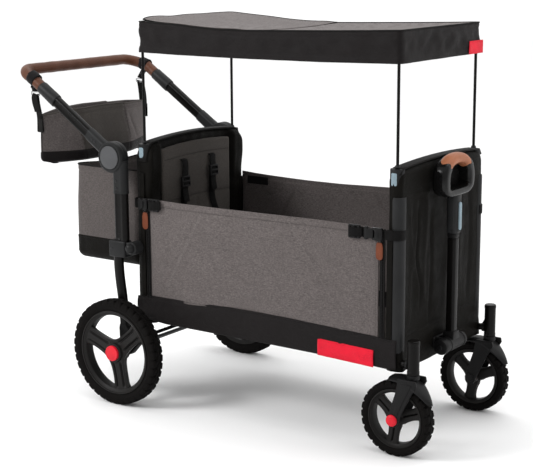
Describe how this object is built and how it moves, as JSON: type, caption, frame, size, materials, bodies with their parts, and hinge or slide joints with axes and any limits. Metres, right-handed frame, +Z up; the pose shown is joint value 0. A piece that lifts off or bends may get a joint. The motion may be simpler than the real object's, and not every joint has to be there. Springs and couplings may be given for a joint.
{
  "type": "canopy stroller wagon",
  "caption": "Folding kids' push and pull wagon: fabric tub on a tube frame, swivel front casters, push handle with organiser bag, pull handle, storage bag and canopy.",
  "frame": {"origin": "centre of the bounding box on the floor, where the wheels stand", "axes": "+X forwards to the pull handle end, +Y to the wagon's left, +Z up"},
  "size_m": [1.344, 0.651, 1.053],
  "materials": {
    "frame_black": "satin black powder coat",
    "plastic_black": "fine-grained moulded plastic",
    "plastic_grey": "smooth dark grey moulded plastic",
    "button_blue": "pale blue-grey moulded plastic",
    "tyre_rubber": "treaded black foam rubber",
    "rim_black": "moulded black plastic",
    "red_plastic": "red moulded plastic",
    "steel": "bare steel",
    "fabric_black": "black woven polyester",
    "fabric_grey": "heather grey-brown woven polyester",
    "fabric_dark": "dark heather woven polyester",
    "fabric_red": "red woven label",
    "leather": "stitched tan brown leatherette",
    "floor_board": "black board"
  },
  "bodies": {
    "rear_frame": {"rear_frame_hoop": "frame_black", "rear_panel": "fabric_black", "rear_seat_back": "fabric_dark", "rear_leg_l": "frame_black", "rear_leg_r": "frame_black", "hinge_housing_l": "plastic_black", "hinge_housing_r": "plastic_black", "rear_axle": "steel", "rear_storage_bag": "fabric_grey", "side_panel_l": "fabric_grey", "side_panel_r": "fabric_grey", "rear_buckle_l": "plastic_black", "rear_buckle_r": "plastic_black"},
    "rear_wheel_l": {"rear_wheel_l_rim": "rim_black", "rear_wheel_l_tyre": "tyre_rubber", "rear_hub_cap_l": "red_plastic"},
    "rear_wheel_r": {"rear_wheel_r_rim": "rim_black", "rear_wheel_r_tyre": "tyre_rubber", "rear_hub_cap_r": "red_plastic"},
    "brake": {"brake_bar": "frame_black"},
    "push_handle": {"handle_arm_l": "frame_black", "handle_arm_r": "frame_black", "push_grip": "leather"},
    "hinge_button_l": {"hinge_button_l": "plastic_grey"},
    "hinge_button_r": {"hinge_button_r": "plastic_grey"},
    "organiser": {"organiser_bag": "fabric_grey"},
    "floor_rear": {"floor_board_rear": "floor_board", "floor_pad_rear": "fabric_dark"},
    "floor_front": {"floor_board_front": "floor_board", "floor_pad_front": "fabric_dark"},
    "front_frame": {"front_frame_hoop": "frame_black", "front_panel": "fabric_black", "front_seat_back": "fabric_dark", "front_buckle_l": "plastic_black", "front_buckle_r": "plastic_black", "caster_stem_l": "frame_black", "caster_stem_r": "frame_black", "pull_handle_bracket": "plastic_black"},
    "caster_l": {"caster_fork_l": "plastic_black"},
    "caster_r": {"caster_fork_r": "plastic_black"},
    "front_wheel_l": {"front_wheel_l_rim": "rim_black", "front_wheel_l_tyre": "tyre_rubber"},
    "front_wheel_r": {"front_wheel_r_rim": "rim_black", "front_wheel_r_tyre": "tyre_rubber"},
    "pull_handle": {"pull_tube_outer": "frame_black"},
    "pull_slider": {"pull_tube_inner": "plastic_grey", "pull_grip": "plastic_black", "pull_grip_leather": "leather"},
    "pull_lever": {"pull_release_lever": "button_blue"},
    "canopy_rear": {"canopy_bow_rear": "frame_black", "canopy_fabric": "fabric_black"},
    "canopy_front": {"canopy_bow_front": "frame_black"},
    "canopy_button_rear_l": {"canopy_button_rear_l": "button_blue"},
    "canopy_button_rear_r": {"canopy_button_rear_r": "button_blue"},
    "canopy_button_front_l": {"canopy_button_front_l": "button_blue"},
    "canopy_button_front_r": {"canopy_button_front_r": "button_blue"},
    "rear_zip_pull_l": {"rear_zip_pull_l": "leather"},
    "rear_zip_pull_r": {"rear_zip_pull_r": "leather"},
    "front_zip_pull_l": {"front_zip_pull_l": "leather"},
    "front_zip_pull_r": {"front_zip_pull_r": "leather"}
  },
  "joints": [
    {"name": "rear_wheel_l_spin", "type": "hinge", "parent": "rear_frame", "child": "rear_wheel_l", "pos_m": [-0.2685, 0.297, 0.149], "axis": [0, 1, 0], "continuous": true},
    {"name": "rear_wheel_r_spin", "type": "hinge", "parent": "rear_frame", "child": "rear_wheel_r", "pos_m": [-0.2685, -0.297, 0.149], "axis": [0, 1, 0], "continuous": true},
    {"name": "brake_turn", "type": "hinge", "parent": "rear_frame", "child": "brake", "pos_m": [-0.2375, 0, 0.178], "axis": [0, -1, 0], "range_deg": [0, 15]},
    {"name": "handle_tilt", "type": "hinge", "parent": "rear_frame", "child": "push_handle", "pos_m": [-0.305, 0, 0.686], "axis": [0, 1, 0], "range_deg": [-35, 50]},
    {"name": "hinge_button_l_press", "type": "slide", "parent": "rear_frame", "child": "hinge_button_l", "axis": [0, -1, 0], "range_m": [0, 0.0025], "stiffness_N_per_m": 500},
    {"name": "hinge_button_r_press", "type": "slide", "parent": "rear_frame", "child": "hinge_button_r", "axis": [0, 1, 0], "range_m": [0, 0.0025], "stiffness_N_per_m": 500},
    {"name": "organiser_hang", "type": "hinge", "parent": "push_handle", "child": "organiser", "pos_m": [-0.604, 0, 0.841], "axis": [0, 1, 0], "range_deg": [-50, 35]},
    {"name": "floor_fold", "type": "hinge", "parent": "rear_frame", "child": "floor_rear", "pos_m": [-0.2335, 0, 0.24], "axis": [0, -1, 0], "range_deg": [0, 70], "deforming": ["side_panel_l", "side_panel_r", "canopy_fabric"]},
    {"name": "floor_mid_hinge", "type": "hinge", "parent": "floor_rear", "child": "floor_front", "pos_m": [0.1635, 0, 0.24], "axis": [0, -1, 0], "range_deg": [-140, 0]},
    {"name": "front_frame_hinge", "type": "hinge", "parent": "floor_front", "child": "front_frame", "pos_m": [0.5605, 0, 0.24], "axis": [0, -1, 0], "range_deg": [0, 70]},
    {"name": "caster_l_swivel", "type": "hinge", "parent": "front_frame", "child": "caster_l", "pos_m": [0.618, 0.21, 0.25], "axis": [0, 0, 1], "continuous": true},
    {"name": "front_wheel_l_spin", "type": "hinge", "parent": "caster_l", "child": "front_wheel_l", "pos_m": [0.5752, 0.21, 0.0973], "axis": [0, 1, 0], "continuous": true},
    {"name": "caster_r_swivel", "type": "hinge", "parent": "front_frame", "child": "caster_r", "pos_m": [0.618, -0.21, 0.25], "axis": [0, 0, 1], "continuous": true},
    {"name": "front_wheel_r_spin", "type": "hinge", "parent": "caster_r", "child": "front_wheel_r", "pos_m": [0.5752, -0.21, 0.0973], "axis": [0, 1, 0], "continuous": true},
    {"name": "pull_handle_tilt", "type": "hinge", "parent": "front_frame", "child": "pull_handle", "pos_m": [0.6105, 0, 0.25], "axis": [0, 1, 0], "range_deg": [0, 105]},
    {"name": "pull_handle_extend", "type": "slide", "parent": "pull_handle", "child": "pull_slider", "axis": [0, 0, 1], "range_m": [0, 0.19]},
    {"name": "pull_lever_press", "type": "slide", "parent": "pull_slider", "child": "pull_lever", "axis": [-1, 0, 0], "range_m": [0, 0.003], "stiffness_N_per_m": 500},
    {"name": "canopy_lift_rear", "type": "slide", "parent": "rear_frame", "child": "canopy_rear", "axis": [0, 0, 1], "range_m": [-0.2, 0]},
    {"name": "canopy_lift_front", "type": "slide", "parent": "front_frame", "child": "canopy_front", "axis": [0, 0, 1], "range_m": [-0.2, 0]},
    {"name": "canopy_button_rear_l_press", "type": "slide", "parent": "rear_frame", "child": "canopy_button_rear_l", "axis": [0, -1, 0], "range_m": [0, 0.003], "stiffness_N_per_m": 500},
    {"name": "canopy_button_rear_r_press", "type": "slide", "parent": "rear_frame", "child": "canopy_button_rear_r", "axis": [0, 1, 0], "range_m": [0, 0.003], "stiffness_N_per_m": 500},
    {"name": "canopy_button_front_l_press", "type": "slide", "parent": "front_frame", "child": "canopy_button_front_l", "axis": [0, -1, 0], "range_m": [0, 0.003], "stiffness_N_per_m": 500},
    {"name": "canopy_button_front_r_press", "type": "slide", "parent": "front_frame", "child": "canopy_button_front_r", "axis": [0, 1, 0], "range_m": [0, 0.003], "stiffness_N_per_m": 500},
    {"name": "rear_zip_l_swing", "type": "hinge", "parent": "rear_frame", "child": "rear_zip_pull_l", "pos_m": [-0.2215, 0.224, 0.538], "axis": [1, 0, 0], "range_deg": [0, 95]},
    {"name": "rear_zip_r_swing", "type": "hinge", "parent": "rear_frame", "child": "rear_zip_pull_r", "pos_m": [-0.2215, -0.224, 0.538], "axis": [-1, 0, 0], "range_deg": [0, 95]},
    {"name": "front_zip_l_swing", "type": "hinge", "parent": "front_frame", "child": "front_zip_pull_l", "pos_m": [0.5257, 0.224, 0.542], "axis": [1, 0, 0], "range_deg": [0, 95]},
    {"name": "front_zip_r_swing", "type": "hinge", "parent": "front_frame", "child": "front_zip_pull_r", "pos_m": [0.5257, -0.224, 0.542], "axis": [-1, 0, 0], "range_deg": [0, 95]}
  ],
  "couplings": [
    {"joint": "floor_mid_hinge", "follows": "floor_fold", "ratio": -2},
    {"joint": "front_frame_hinge", "follows": "floor_fold", "ratio": 1},
    {"joint": "canopy_lift_front", "follows": "canopy_lift_rear", "ratio": 1},
    {"joint": "organiser_hang", "follows": "handle_tilt", "ratio": -1}
  ]
}
